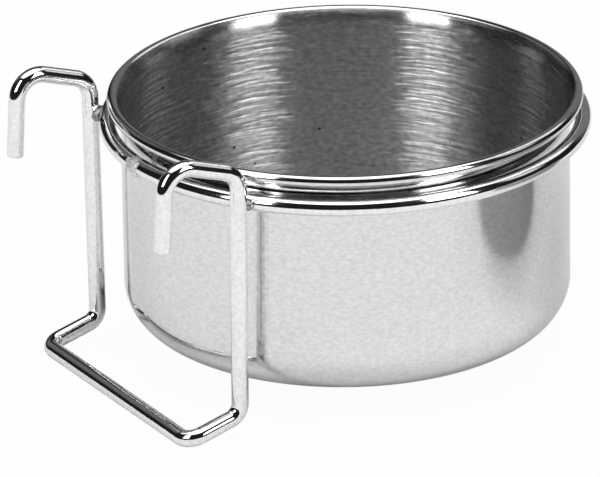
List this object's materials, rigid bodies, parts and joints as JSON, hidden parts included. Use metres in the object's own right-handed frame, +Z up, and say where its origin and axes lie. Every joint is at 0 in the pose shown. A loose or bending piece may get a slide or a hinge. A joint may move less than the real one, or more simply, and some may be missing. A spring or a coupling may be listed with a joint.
{
  "type": "hook-on crate bowl",
  "caption": "Round steel bowl with a rolled rim that lifts out of a wire ring, whose hooks hang it on the wire wall of a dog crate.",
  "frame": {"origin": "centre of the underside of the cup's flat base, on the axis of cup and ring", "axes": "+Z up along the cup's axis, -Y towards the crate wall that the hooks and the crossbar face, X along the crossbar"},
  "size_m": [0.1448, 0.1619, 0.0906],
  "materials": {
    "cup_steel": "mirror polished outside, fine brushed inside",
    "wire_steel": "bright polished drawn wire",
    "weld_steel": "polished over an uneven weld"
  },
  "bodies": {
    "holder": {"hanger_wire": "wire_steel", "support_ring": "wire_steel", "ring_butt_weld": "weld_steel", "weld_left": "weld_steel", "weld_right": "weld_steel"},
    "cup": {"cup": "cup_steel"}
  },
  "joints": [
    {"name": "cup_lift", "type": "slide", "parent": "holder", "child": "cup", "axis": [0, 0, 1], "range_m": [-0.0032, 0.1]}
  ]
}
